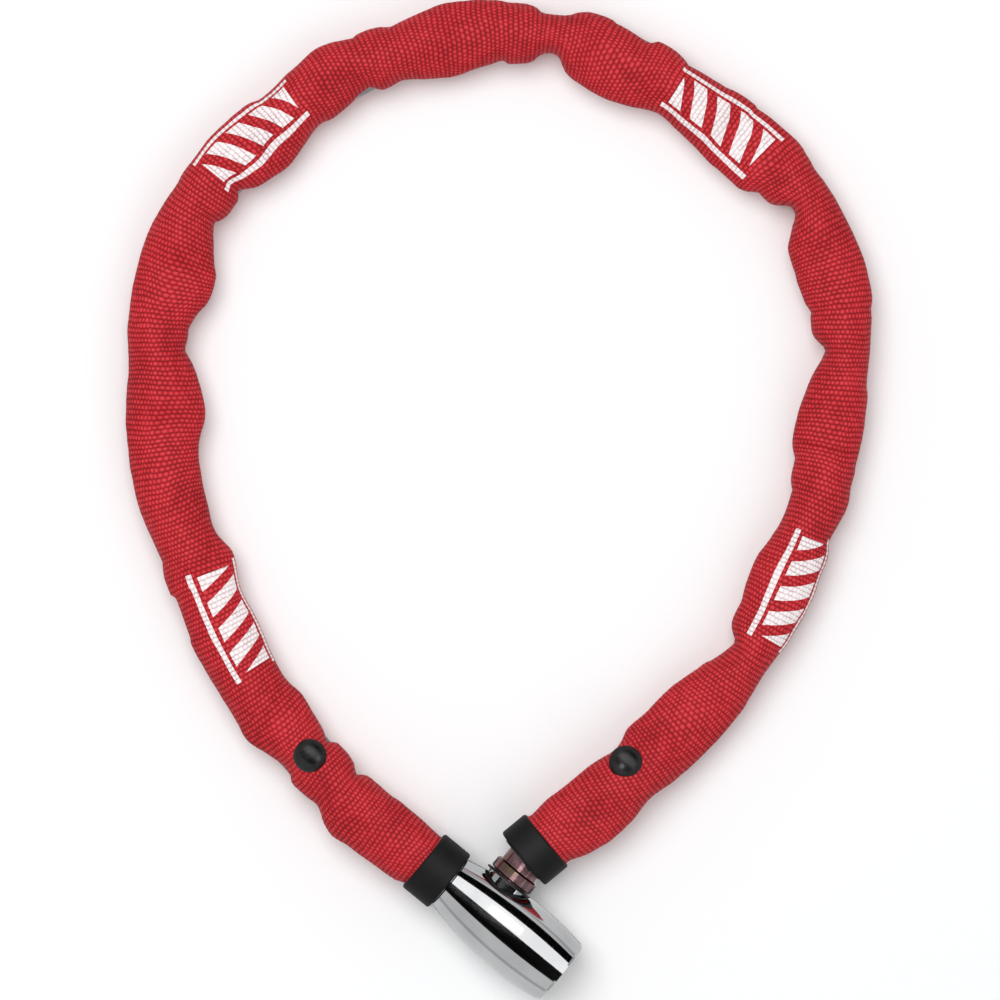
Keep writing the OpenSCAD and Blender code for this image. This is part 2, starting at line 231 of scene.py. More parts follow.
# %% Chrome plate
chrome, shader = begin("chrome_plate_polished", Metallic=1.0)
spot = add(chrome, "ShaderNodeTexCoord").outputs["Object"]
lengthwise = add(
    chrome, "ShaderNodeMapping", {"Vector": spot, "Rotation": (0, 0, BARREL_TURN)}, vector_type="TEXTURE",
)
haze = add(chrome, "ShaderNodeTexNoise", {"Vector": lengthwise, "Scale": 90.0, "Detail": 5.0})
drawn_out = add(chrome, "ShaderNodeMapping", {"Vector": lengthwise, "Scale": (60.0, 2400.0, 2400.0)})
hairs = add(chrome, "ShaderNodeTexNoise", {"Vector": drawn_out, "Scale": 1.0, "Detail": 3.0})
wiped = add(chrome, "ShaderNodeMath", {0: haze, 1: hairs}, operation="MULTIPLY")
wave = add(chrome, "ShaderNodeTexNoise", {"Vector": lengthwise, "Scale": 55.0, "Detail": 1.0})
feed(
    chrome, shader,
    Base_Color=add(chrome, "ShaderNodeValToRGB", {"Fac": haze}, [(0.3, "#C8C9CB"), (0.7, "#D9DADB")]),
    Roughness=add(chrome, "ShaderNodeMapRange", {"Value": wiped, "To Min": 0.035, "To Max": 0.16}),
    Normal=add(chrome, "ShaderNodeBump", {"Height": wave, "Strength": 0.05, "Distance": 0.0006}),
)
print("chrome plate ready")

# %% [markdown]
# ### Moulded rubber
# The collars are EPDM rubber from a spark-eroded mould: nearly black, matt, with a grain of about 0.2 mm that
# breaks the highlight on the rims. The grain is drawn 0.35 mm wide so that it shows.

# %% Moulded rubber
rubber, shader = begin("epdm_rubber_moulded", Specular_IOR_Level=0.18)
spot = add(rubber, "ShaderNodeTexCoord").outputs["Object"]
grain = add(rubber, "ShaderNodeTexNoise", {"Vector": spot, "Scale": 2900.0, "Detail": 2.0})
dust = add(rubber, "ShaderNodeTexNoise", {"Vector": spot, "Scale": 240.0, "Detail": 4.0})
feed(
    rubber, shader,
    Base_Color=add(rubber, "ShaderNodeValToRGB", {"Fac": dust}, [(0.3, "#0B0B0C"), (0.75, "#141415")]),
    Roughness=add(rubber, "ShaderNodeMapRange", {"Value": dust, "To Min": 0.48, "To Max": 0.66}),
    Normal=add(rubber, "ShaderNodeBump", {"Height": grain, "Strength": 0.35, "Distance": 0.00012}),
)
print("rubber ready")

# %% [markdown]
# ### Black nylon
# The rivets' heads are moulded nylon. The mould was polished, so the head shows a clear but slightly
# soft highlight, and handling leaves faint scuffs. The bush in the barrel has a duller skin.

# %% Black nylon
nylon, shader = begin("nylon_moulded_black", IOR=1.53)
spot = add(nylon, "ShaderNodeTexCoord").outputs["Object"]
scuff = add(nylon, "ShaderNodeTexNoise", {"Vector": spot, "Scale": 700.0, "Detail": 4.0, "Roughness": 0.65})
feed(
    nylon, shader,
    Base_Color=add(nylon, "ShaderNodeValToRGB", {"Fac": scuff}, [(0.35, "#070708"), (0.8, "#101012")]),
    Roughness=add(nylon, "ShaderNodeMapRange", {"Value": scuff, "To Min": 0.2, "To Max": 0.38}),
    Normal=add(nylon, "ShaderNodeBump", {"Height": scuff, "Strength": 0.12, "Distance": 0.0001}),
)
matt_nylon, shader = begin("nylon_moulded_matt", Base_Color=srgb("#0E0E10"), IOR=1.53)
spot = add(matt_nylon, "ShaderNodeTexCoord").outputs["Object"]
skin = add(matt_nylon, "ShaderNodeTexNoise", {"Vector": spot, "Scale": 1600.0, "Detail": 3.0})
feed(
    matt_nylon, shader,
    Roughness=add(matt_nylon, "ShaderNodeMapRange", {"Value": skin, "To Min": 0.4, "To Max": 0.6}),
    Normal=add(matt_nylon, "ShaderNodeBump", {"Height": skin, "Strength": 0.2, "Distance": 0.0001}),
)
print("nylon ready")

# %% [markdown]
# ### Chromated steel
# The stud is turned steel with zinc plate and a chromate dip. The dip leaves a thin film whose colour drifts
# between rosy brown, straw and olive. The lathe leaves rings 0.25 mm apart, which are drawn square to the
# barrel's width, close enough to the stud's own axis.

# %% Chromated steel
TURNING_PITCH = 0.25 * MM
WAVES_PER_UNIT = 20 / (2 * math.pi)
FILM_COLOURS = [(0.25, "#74684A"), (0.42, "#7D6062"), (0.55, "#93757A"), (0.68, "#6C5056"), (0.8, "#7E7552")]
chromated, shader = begin("steel_zinc_chromated", Metallic=1.0)
spot = add(chromated, "ShaderNodeTexCoord").outputs["Object"]
lengthwise = add(
    chromated, "ShaderNodeMapping", {"Vector": spot, "Rotation": (0, 0, BARREL_TURN)}, vector_type="TEXTURE",
)
film = add(
    chromated, "ShaderNodeTexNoise", {"Vector": lengthwise, "Scale": 150.0, "Detail": 2.0, "Distortion": 0.8},
)
rings = add(
    chromated, "ShaderNodeTexWave",
    {"Vector": lengthwise, "Scale": 1 / (WAVES_PER_UNIT * TURNING_PITCH), "Distortion": 0.3},
    wave_type="BANDS", bands_direction="Y",
)
feed(
    chromated, shader,
    Base_Color=add(chromated, "ShaderNodeValToRGB", {"Fac": film}, FILM_COLOURS),
    Roughness=add(chromated, "ShaderNodeMapRange", {"Value": film, "To Min": 0.08, "To Max": 0.18}),
    Normal=add(
        chromated, "ShaderNodeBump", {"Height": rings.outputs["Fac"], "Strength": 0.25, "Distance": 0.00004},
    ),
)
print("chromated steel ready")

# %% [markdown]
# ### Steel and brass inside
# The links are zinc plated and barrel finished, so they are dull grey with small dents. Pins, springs and the
# crimp rings are bright steel with fine drawn lines. Plug, core and wafers are machined brass, a little dark
# where hands and air reach it.

# %% Inner metals


def worn_metal(name, dark, light, scale, smoothest, roughest, dent):
    """A metal with blotches between two colours. scale is the number of blotches in a metre."""
    metal, its_shader = begin(name, Metallic=1.0)
    its_spot = add(metal, "ShaderNodeTexCoord").outputs["Object"]
    blotch = add(
        metal, "ShaderNodeTexNoise", {"Vector": its_spot, "Scale": scale, "Detail": 5.0, "Roughness": 0.6},
    )
    feed(
        metal, its_shader,
        Base_Color=add(metal, "ShaderNodeValToRGB", {"Fac": blotch}, [(0.3, dark), (0.7, light)]),
        Roughness=add(metal, "ShaderNodeMapRange", {"Value": blotch, "To Min": smoothest, "To Max": roughest}),
        Normal=add(metal, "ShaderNodeBump", {"Height": blotch, "Strength": dent, "Distance": 0.0001}),
    )
    return metal


link_steel = worn_metal("steel_zinc_plated_links", "#8D9093", "#B4B7BA", 420.0, 0.32, 0.5, 0.4)
bright_steel = worn_metal("steel_bright_drawn", "#A9ABAD", "#C6C8CA", 900.0, 0.2, 0.34, 0.15)
brass = worn_metal("brass_machined", "#9C7B3C", "#CBA65E", 500.0, 0.22, 0.38, 0.15)
print("inner metals ready")

# %% [markdown]
# ### Woven polyester with a print
# The tube is a plain weave of thick yarn. Each crossing is a small crown, a little over 1 mm from
# the next, and every second row is shifted by half a crown. The crowns are painted lighter as a painted highlight,
# and the valleys between the rows are painted darker as painted shade.
# The pattern reads a UV map in millimetres, so it follows the tube round every bend.
# The white print is a pad of slanted bars between two rails, and the weave shows through it.

# %% Weave sizes in mm
CROWN_ROUND, CROWN_ALONG = 1.05, 1.3
PRINT_HALF_LENGTH, PRINT_HALF_WIDTH = 16.0, 6.7
RAIL_WIDTH, BAR_PITCH, BAR_SHARE, BAR_HALF_WIDTH = 1.5, 7.4, 0.56, 4.3

cloth, shader = begin(
    "polyester_woven_red", Specular_IOR_Level=0.18, Sheen_Weight=0.05, Sheen_Roughness=0.45,
    Sheen_Tint=srgb("#F2A0A8"),
)
raw = add(cloth, "ShaderNodeSeparateXYZ", {"Vector": add(cloth, "ShaderNodeUVMap", uv_map="weave")})
round_mm, along_mm = raw.outputs[0], raw.outputs[1]
spot = add(cloth, "ShaderNodeTexCoord").outputs["Object"]
drift = add(cloth, "ShaderNodeTexNoise", {"Vector": spot, "Scale": 420.0, "Detail": 2.0})
sway = add(cloth, "ShaderNodeTexNoise", {"Vector": spot, "Scale": 60.0, "Detail": 1.0})
print("crowns every", CROWN_ROUND, "mm round and", CROWN_ALONG, "mm along")

# %% Rows and crowns
# Two noises sway the rows a little. A sine over each repeat is 0 in the valleys and 1 on the crown.
swayed = add(cloth, "ShaderNodeMath", {0: sway, 1: 3.0, 2: along_mm}, operation="MULTIPLY_ADD")
swayed_fine = add(cloth, "ShaderNodeMath", {0: drift, 1: 0.5, 2: swayed}, operation="MULTIPLY_ADD")
row = add(cloth, "ShaderNodeMath", {0: swayed_fine, 1: CROWN_ALONG}, operation="DIVIDE")
row_number = add(cloth, "ShaderNodeMath", {0: row}, operation="FLOOR")
row_part = add(cloth, "ShaderNodeMath", {0: row}, operation="FRACT")
row_angle = add(cloth, "ShaderNodeMath", {0: row_part, 1: math.pi}, operation="MULTIPLY")
row_hump = add(cloth, "ShaderNodeMath", {0: row_angle}, operation="SINE")
column = add(cloth, "ShaderNodeMath", {0: round_mm, 1: CROWN_ROUND}, operation="DIVIDE")
half_step = add(cloth, "ShaderNodeMath", {0: row_number, 1: 0.5, 2: column}, operation="MULTIPLY_ADD")
wobble = add(cloth, "ShaderNodeMath", {0: drift, 1: 0.35, 2: half_step}, operation="MULTIPLY_ADD")
column_number = add(cloth, "ShaderNodeMath", {0: wobble}, operation="FLOOR")
column_part = add(cloth, "ShaderNodeMath", {0: wobble}, operation="FRACT")
column_angle = add(cloth, "ShaderNodeMath", {0: column_part, 1: math.pi}, operation="MULTIPLY")
column_hump = add(cloth, "ShaderNodeMath", {0: column_angle}, operation="SINE")
crown = add(cloth, "ShaderNodeMath", {0: row_hump, 1: column_hump}, operation="MULTIPLY")
row_soft = add(cloth, "ShaderNodeMath", {0: row_hump, 1: 0.6}, operation="POWER")
lift = add(cloth, "ShaderNodeMath", {0: crown, 1: 0.76}, operation="MULTIPLY")
height = add(cloth, "ShaderNodeMath", {0: row_soft, 1: 0.24, 2: lift}, operation="MULTIPLY_ADD")
print("rows and crowns ready")

# %% A little luck for every crown
# Every crown is a bit lighter or darker than its neighbours, and painted shade makes the cloth darker in its
# hollows.
YARN_REDS = [(0.02, "#7A0913"), (0.34, "#A3141D"), (0.62, "#BC1F28"), (0.92, "#CF363E")]
crown_id = add(cloth, "ShaderNodeCombineXYZ", {0: column_number, 1: row_number})
luck = add(cloth, "ShaderNodeTexWhiteNoise", {"Vector": crown_id})
luck_part = add(cloth, "ShaderNodeMath", {0: luck, 1: 0.26, 2: -0.13}, operation="MULTIPLY_ADD")
# Adding the height paints highlight on the crowns and shade in the valleys; the luck is the yarn's own random
# tone.
luck_and_painted_relief = add(cloth, "ShaderNodeMath", {0: luck_part, 1: height}, operation="ADD")
blotches = add(cloth, "ShaderNodeMath", {0: sway, 1: 0.3, 2: luck_and_painted_relief}, operation="MULTIPLY_ADD")
tone_fit = add(cloth, "ShaderNodeMath", {0: blotches, 1: -0.15}, operation="ADD")
# Painted shade: the cloth's colour is darkened where its top is pressed in.
hollow_shade = add(cloth, "ShaderNodeAttribute", attribute_name="hollow_shade").outputs["Fac"]
tone_with_painted_shade = add(cloth, "ShaderNodeMath", {0: hollow_shade, 1: -0.15, 2: tone_fit}, operation="MULTIPLY_ADD")
red = add(cloth, "ShaderNodeValToRGB", {"Fac": tone_with_painted_shade}, YARN_REDS)
print("weave ready")

# %% The print's mask
# Masks are 1 inside and 0 outside, and a product of two keeps what is inside both.
PRINT_WHITES = [(0.1, "#DCC9CC"), (0.5, "#EFE4E5"), (0.9, "#F7F1F0")]
motif = add(cloth, "ShaderNodeSeparateXYZ", {"Vector": add(cloth, "ShaderNodeUVMap", uv_map="motif")})
across_mm, length_mm = motif.outputs[0], motif.outputs[1]
side = add(cloth, "ShaderNodeMath", {0: across_mm}, operation="ABSOLUTE")
reach = add(cloth, "ShaderNodeMath", {0: length_mm}, operation="ABSOLUTE")
in_width = add(cloth, "ShaderNodeMath", {0: side, 1: PRINT_HALF_WIDTH}, operation="LESS_THAN")
in_length = add(cloth, "ShaderNodeMath", {0: reach, 1: PRINT_HALF_LENGTH}, operation="LESS_THAN")
within = add(cloth, "ShaderNodeMath", {0: in_width, 1: in_length}, operation="MULTIPLY")
rails = add(cloth, "ShaderNodeMath", {0: side, 1: PRINT_HALF_WIDTH - RAIL_WIDTH}, operation="GREATER_THAN")
slant = add(cloth, "ShaderNodeMath", {0: across_mm, 1: 0.55, 2: length_mm}, operation="MULTIPLY_ADD")
bars = add(cloth, "ShaderNodeMath", {0: slant, 1: BAR_PITCH}, operation="DIVIDE")
bars_moved = add(cloth, "ShaderNodeMath", {0: bars, 1: 20.0 + BAR_SHARE / 2}, operation="ADD")
bar_part = add(cloth, "ShaderNodeMath", {0: bars_moved}, operation="FRACT")
on_bar = add(cloth, "ShaderNodeMath", {0: bar_part, 1: BAR_SHARE}, operation="LESS_THAN")
by_rails = add(cloth, "ShaderNodeMath", {0: side, 1: BAR_HALF_WIDTH}, operation="LESS_THAN")
by_ends = add(cloth, "ShaderNodeMath", {0: reach, 1: PRINT_HALF_LENGTH - 1.5}, operation="LESS_THAN")
bar_wide = add(cloth, "ShaderNodeMath", {0: on_bar, 1: by_rails}, operation="MULTIPLY")
bar = add(cloth, "ShaderNodeMath", {0: bar_wide, 1: by_ends}, operation="MULTIPLY")
marks = add(cloth, "ShaderNodeMath", {0: bar, 1: rails}, operation="MAXIMUM")
ink = add(cloth, "ShaderNodeMath", {0: marks, 1: within}, operation="MULTIPLY")
on_yarn = add(cloth, "ShaderNodeMath", {0: tone_fit, 1: 0.16}, operation="GREATER_THAN")
ink_depth = add(cloth, "ShaderNodeMapRange", {"Value": on_yarn, "To Min": 0.55, "To Max": 0.97})
ink_cover = add(cloth, "ShaderNodeMath", {0: ink, 1: ink_depth}, operation="MULTIPLY")
white = add(cloth, "ShaderNodeValToRGB", {"Fac": tone_fit}, PRINT_WHITES)
MIX_FIRST, MIX_SECOND, MIX_RESULT = 6, 7, 2
printed = add(cloth, "ShaderNodeMix", {"Factor": ink_cover, MIX_FIRST: red, MIX_SECOND: white}, data_type="RGBA")
cloth.node_tree.links.new(printed.outputs[MIX_RESULT], shader.inputs["Base Color"])
print("print ready")

# %% Cloth finish
feed(
    cloth, shader,
    Roughness=add(cloth, "ShaderNodeMapRange", {"Value": height, "To Min": 0.8, "To Max": 0.55}),
    Normal=add(cloth, "ShaderNodeBump", {"Height": height, "Strength": 0.45, "Distance": 0.00026}),
)
print("cloth has", len(cloth.node_tree.nodes), "nodes")

# %% [markdown]
# ## Metal and rubber pieces
# The CAD solids already have the right shape, so they stay and only get their finish.

# %% Finish of every CAD node
FINISH = {
    "chrome_plate": chrome, "black_rubber": rubber, "black_plastic": nylon, "bush_plastic": matt_nylon,
    "chromated_steel": chromated, "chain_steel": link_steel, "spring_steel": bright_steel, "lock_brass": brass,
    "red_cloth": cloth,
}
slots = {part["node"]: part["material_slot"] for part in frame["record"]["subparts"]}
for name, node in frame["nodes"].items():
    node.data.materials.clear()
    node.data.materials.append(FINISH[slots[name]])
print("finished", len(slots), "CAD nodes")

# %% [markdown]
# ## The sleeve
# One woven tube covers the chain. It is round at the collars. In between it lies flat over each flat link and
# stands up over each link on edge, and it bags out on the inner side of the loop, where the path is shorter.
# A ring of points is laid at the first collar, and its edges are extruded ring by ring along the middle line.

# %% The outline: place along the line, reach to the outer side, reach to the inner side, in mm
OUTLINE = [
    (0, 7.75, 7.75), (8.5, 7.75, 7.75), (12, 9, 7.9), (20, 9.4, 8.4), (27, 10.2, 7.7), (32, 10.9, 7.8),
    (36, 9.8, 7.4), (39, 8.1, 5.2), (43, 7.1, 5), (50, 6.9, 6.4), (54, 6.6, 8), (60, 7.9, 9.3), (65, 9.3, 10),
    (72, 8, 9.3), (80, 7.9, 10), (90, 7.9, 10.8), (102, 7.1, 10.3), (111, 6.8, 11.7), (119, 7.2, 9.4),
    (126, 8, 9.8), (132, 8.4, 10.2), (144, 8, 11), (154, 8.1, 13.2), (160, 7.8, 12.7), (168, 7.2, 10.1),
    (174, 7.7, 7.3), (180, 7.9, 9.2), (188, 8, 13.1), (195, 8, 13.4), (201, 8.1, 11.2), (210, 7.8, 7.2),
    (217, 7.6, 3.7), (222, 8, 5.8), (228, 8.5, 10), (238, 8.1, 12), (243, 7, 11.4), (247, 6.6, 10.2),
    (254, 7.7, 8.3), (258, 8.4, 9), (264, 9.5, 8.2), (273, 7.6, 6.6), (282, 6.7, 8.1), (290, 8, 9.9),
    (297, 9.3, 10.5), (304, 9.2, 9.2), (312, 8.5, 7), (315, 7.2, 3.8), (321, 5.5, 3.2), (327, 5.5, 5),
    (331, 6.2, 9.8), (338, 7.2, 12.1), (348, 6.4, 12.6), (354, 5.3, 11.3), (361, 6.5, 8.9), (369, 6.8, 10.1),
    (380, 7.2, 11.8), (390, 7.9, 12.2), (396, 8.3, 11.4), (402, 7.4, 6), (410, 7.4, 3.7), (414, 7.5, 7),
    (419, 7.6, 10.4), (430, 8.1, 10.8), (438, 8.3, 9.7), (441, 7.7, 7.7), (446, 7.5, 3.1), (452, 7.4, 4.6),
    (460, 7.4, 8), (470, 8.2, 10.2), (479, 7.9, 10.2), (486, 7.9, 7), (492, 8.5, 7), (502, 6.8, 7.4),
    (513, 8.2, 9.8), (520, 8.6, 9.6), (528, 8, 7.7), (532, 7.5, 5.5), (537, 7.2, 4.3), (542, 7, 5.6),
    (550, 7.9, 8.6), (559, 8.2, 10.7), (568, 8.1, 11), (576, 7.9, 11.1), (583, 7.8, 8.6), (590, 9.9, 8.8),
    (599, 11.1, 8), (606, 10.3, 8.2), (611, 8.4, 7.8), (LENGTH - 7.5, 7.75, 7.75), (LENGTH, 7.75, 7.75),
]
LINKS_ON_EDGE = [34, 78, 122, 166, 209.5, 248, 286, 324, 367, 410, 453, 496, 539, 582.5]
HALF_HEIGHT = 8.05
FLAT_HALF_HEIGHT = 5.4


def smooth_value(table, column, s):
    """A curve through one column of a table, with level ground kept level."""
    rows = [(r[0], r[column]) for r in table]
    k = max(1, next((i for i, r in enumerate(rows) if r[0] >= s), len(rows) - 1))
    (s0, v0), (s1, v1) = rows[k - 1], rows[k]
    before = rows[k - 2] if k > 1 else (s0 - 1, v0)
    after = rows[k + 1] if k + 1 < len(rows) else (s1 + 1, v1)
    slope0 = (v1 - before[1]) / (s1 - before[0])
    slope1 = (after[1] - v0) / (after[0] - s0)
    width = s1 - s0
    t = (s - s0) / width
    blend0, blend1 = 2 * t**3 - 3 * t**2 + 1, 3 * t**2 - 2 * t**3
    return v0 * blend0 + v1 * blend1 + width * (slope0 * (t**3 - 2 * t**2 + t) + slope1 * (t**3 - t**2))


def ease(low, high, x):
    t = max(0.0, min(1.0, (x - low) / (high - low)))
    return t * t * (3 - 2 * t)


# %% [markdown]
# The cloth can't be inside the steel that it covers. Each link's own points say how far the sleeve has to reach
# there on either side.

# %% What the links need, in mm
SPARE = 1.25
WIDEST_NEED = 8.8
stations = [float(s) for s in range(int(LENGTH) + 1)]
tree = kdtree.KDTree(len(stations))
for k, s in enumerate(stations):
    tree.insert(at(s).to_2d().to_3d(), k)
tree.balance()
need_outer, need_inner = ([0.0] * len(stations) for _ in range(2))
for name, node in frame["nodes"].items():
    if not name.startswith("link_"):
        continue
    for corner in {tuple(round(c / MM, 1) for c in v.co) for v in node.data.vertices}:
        _, k, _ = tree.find(Vector((corner[0], corner[1], 0)))
        here = at(stations[k])
        across = (Vector(corner) - here).dot(outwards(stations[k]))
        need_outer[k] = max(need_outer[k], min(across + SPARE, WIDEST_NEED))
        need_inner[k] = max(need_inner[k], min(-across + SPARE, WIDEST_NEED))


def window(values, k, reach):
    return values[max(0, k - reach):k + reach + 1]


def rounded_off(values):
    """The values with their peaks widened and then averaged, so that none of them is undercut."""
    wide = [max(window(values, k, 4)) for k in range(len(values))]
    return [sum(window(wide, k, 3)) / len(window(wide, k, 3)) for k in range(len(wide))]


need_outer, need_inner = rounded_off(need_outer), rounded_off(need_inner)
print("widest need", round(max(need_outer), 1), round(max(need_inner), 1))


def need(values, s):
    k = min(int(s), len(values) - 2)
    return values[k] + (values[k + 1] - values[k]) * (s - k)


# %% [markdown]
# Cloth hardly stretches, so where the tube is wide it has to be low. The height comes from the width: the
# girth stays near 50 mm. Over a link on edge it can't sink below the link, and there the section turns from an
# oval to a tent.

# %% A point of the sleeve
GIRTH = 50.0
GIRTH_HEIGHT, GIRTH_SLOPE = 15.9, 1.04
COLLAR_BORE_RADIUS = 7.75
HOLLOWS = [
    # place along, place across (inwards is positive), depth, half length along, half width across
    (18, 6, 0.5, 5, 3), (30, -6, 0.7, 6, 3), (43, -2, 0.8, 4, 5), (63, -6, 0.8, 6, 3), (70, 5, 0.5, 7, 2.5),
    (116, 7, 0.6, 7, 2.5), (129, 5, 1.3, 6, 3.5), (168, -4, 0.7, 7, 3), (175, 4, 1.3, 6, 3), (195, 4, 0.8, 7, 3),
    (195, 10, 0.6, 6, 2.5), (213, 2, 0.8, 5, 2), (224, 4, 0.7, 4, 2.5), (264, 2, 1.3, 8, 3.5),
    (276, -3, 0.5, 8, 2), (292, 5, 0.8, 7, 3), (303, -5, 0.6, 6, 3), (330, -4, 0.8, 6, 2.5), (352, 6, 0.8, 8, 3),
    (400, 4, 0.9, 4, 3), (417, -4, 0.9, 6, 3), (436, 4, 0.8, 6, 3), (459, 4, 0.7, 6, 2.5), (489, 4, 0.9, 6, 2.5),
    (502, -3, 0.5, 6, 2.5), (529, 4, 0.8, 5, 2.5), (546, 3, 0.7, 6, 2.5), (572, 6, 0.8, 7, 2.5),
    (600, -3, 1, 6, 4),
]


def held_by_collar(s):
    """1 inside a collar and 0 away from both."""
    return max(1 - ease(8, 20, s), ease(LENGTH - 19, LENGTH - 8, s))


def top_half_height(s, half_width):
    """Half the section's height, and a share that is 1 over a link on edge and 0 over a flat one."""
    by_girth = GIRTH_HEIGHT - GIRTH_SLOPE * half_width
    near_edge = min(abs(s - place) for place in LINKS_ON_EDGE)
    over_link = 1 - ease(7.5, 15.5, near_edge)
    low = max(FLAT_HALF_HEIGHT, min(HALF_HEIGHT, by_girth))
    return low + (HALF_HEIGHT - low) * over_link, over_link


FULL_OVAL, TENT_SHARE = 2.25, 0.55


def hollow_depth(s, inwards, up):
    """How far the top is pressed in, in mm."""
    if up < -0.2:
        return 0.0
    depth = 0.0
    for place, side_at, deep, long, wide in HOLLOWS:
        if abs(s - place) < 3 * long:
            depth += deep * math.exp(-(((s - place) / long) ** 2) - ((inwards - side_at) / wide) ** 2)
    return depth * (1 - held_by_collar(s))


def sleeve_point(s, angle):
    """The tube's outer skin at a place along the line and an angle round it, in metres, and how far its top is
    pressed in, in mm. That depth also sets the painted shade.
    """
    outer = max(smooth_value(OUTLINE, 1, s), need(need_outer, s))
    inner = max(smooth_value(OUTLINE, 2, s), need(need_inner, s))
    at_collar = held_by_collar(s)
    top, over_link = top_half_height(s, (outer + inner) / 2)
    top = top + (COLLAR_BORE_RADIUS - top) * at_collar
    bottom = (top + HALF_HEIGHT) / 2 * (1 - at_collar) + COLLAR_BORE_RADIUS * at_collar
    tent = over_link * (1 - at_collar) * ease(7.5, 10.5, (outer + inner) / 2)
    power = 2 / (FULL_OVAL - TENT_SHARE * tent)
    power += (1 - power) * at_collar
    cos, sin = math.cos(angle), math.sin(angle)
    across = math.copysign(abs(cos) ** power, cos) * (outer if cos > 0 else inner)
    up = math.copysign(abs(sin) ** power, sin) * (top if sin > 0 else bottom)
    depth = hollow_depth(s, -across, sin)
    up -= depth
    point = at(s) + outwards(s) * across
    ripple = noise.noise(point * 0.16 + Vector((3, 7, angle))) * 0.45 + noise.noise(point * 0.4) * 0.2
    swell = 1 + ripple * 0.06 * (1 - at_collar)
    return (at(s) + outwards(s) * across * swell + Vector((0, 0, up * swell))) * MM, depth


# %% Lay and extrude the rings
RING_GAP = 1.25
SIDES = 64
SLEEVE_START, SLEEVE_CUT = 0.6, 478.0
CLOTH_THICKNESS = 0.6


def round_angle(index):
    """Angle of a point of a ring. The seam is underneath, where the tube rests."""
    return -math.pi / 2 + 2 * math.pi * index / SIDES


def set_ring(points, s, order, place, hollow_shade):
    for point in points:
        point.co, depth = sleeve_point(s, round_angle(point[order]))
        # The depth is kept, up to 1 mm, for the painted shade in the hollows.
        point[place], point[hollow_shade] = s, min(1.0, depth)


def woven_tube(name, stops):
    mesh = bmesh.new()
    order = mesh.verts.layers.int.new("order")
    place = mesh.verts.layers.float.new("place")
    hollow_shade = mesh.verts.layers.float.new("hollow_shade")
    ring = bmesh.ops.create_circle(mesh, cap_ends=False, segments=SIDES, radius=0.01)["verts"]
    for index, point in enumerate(ring):
        point[order] = index
    set_ring(ring, stops[0], order, place, hollow_shade)
    edges = list(mesh.edges)
    for s in stops[1:]:
        grown = bmesh.ops.extrude_edge_only(mesh, edges=edges)["geom"]
        set_ring([g for g in grown if isinstance(g, bmesh.types.BMVert)], s, order, place, hollow_shade)
        edges = [
            g for g in grown
            if isinstance(g, bmesh.types.BMEdge) and abs(g.verts[0][place] - s) + abs(g.verts[1][place] - s) < 1e-4
        ]
    bmesh.ops.recalc_face_normals(mesh, faces=mesh.faces)
    weave, motif_uv = mesh.loops.layers.uv.new("weave"), mesh.loops.layers.uv.new("motif")
    for face in mesh.faces:
        face.smooth = True
        wraps = {loop.vert[order] for loop in face.loops} >= {0, SIDES - 1}
        for loop in face.loops:
            index = loop.vert[order] + (SIDES if wraps and loop.vert[order] == 0 else 0)
            u = (index / SIDES - 0.5) * GIRTH
            loop[weave].uv = (u, loop.vert[place])
            loop[motif_uv].uv = motif_place(u, loop.vert[place])
    data = bpy.data.meshes.new(name)
    mesh.to_mesh(data)
    mesh.free()
    data.materials.append(cloth)
    piece = bpy.data.objects.new(name, data)
    bpy.context.scene.collection.objects.link(piece)
    print(name, len(data.polygons), "faces,", round(stops[-1] - stops[0], 1), "mm long")
    return piece


# %% Where the prints are: place along the line, place across with outwards positive
PRINTS = [(94, -4.7), (237, 1.5), (377, -0.5), (517.5, 3.6)]
OFF_PRINT = 60.0


def motif_place(u, s):
    """Millimetres from the middle of the nearest print. Away from every print the first number is far off."""
    middle, shift = min(PRINTS, key=lambda p: abs(s - p[0]))
    far = abs(s - middle) > PRINT_HALF_LENGTH + 4
    return (-u - shift + (OFF_PRINT if far else 0), s - middle)


# %% Make both lengths of the sleeve


def stops_between(start, end):
    count = round((end - start) / RING_GAP)
    return [start + (end - start) * i / count for i in range(count + 1)]


sleeve_long = woven_tube("woven_sleeve", stops_between(SLEEVE_START, SLEEVE_CUT))
sleeve_short = woven_tube("woven_sleeve_stud_end", stops_between(SLEEVE_CUT, LENGTH - SLEEVE_START))
for piece in (sleeve_long, sleeve_short):
    wall = piece.modifiers.new("cloth_wall", "SOLIDIFY")
    wall.thickness, wall.offset = CLOTH_THICKNESS * MM, -1.0
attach(sleeve_long, "barrel")
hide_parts("sleeve_main")
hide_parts("sleeve_end")
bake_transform(sleeve_short)

# %% [markdown]
# ## Studio
# A white table and a large soft light overhead. Polished chrome shows whatever stands round it, so long black,
# white and grey cards hang over the barrel, parallel to it. Only reflections see them.

# %% Table
TABLE_GAP = 0.2 * MM
table_mesh = bmesh.new()
bmesh.ops.create_grid(table_mesh, x_segments=1, y_segments=1, size=3.0)
bmesh.ops.translate(table_mesh, vec=(0, 0, CAD_BOX[0].z - TABLE_GAP), verts=table_mesh.verts)
table_data = bpy.data.meshes.new("table")
table_mesh.to_mesh(table_data)
table_mesh.free()
paper, shader = begin("paper_white", Base_Color=srgb("#F4F4F4"), Roughness=0.9, Specular_IOR_Level=0.1)
table_data.materials.append(paper)
table = bpy.data.objects.new("table", table_data)
bpy.context.scene.collection.objects.link(table)
print("table", round(1000 * (CAD_BOX[0].z - TABLE_GAP), 1), "mm high")

# %% Lights


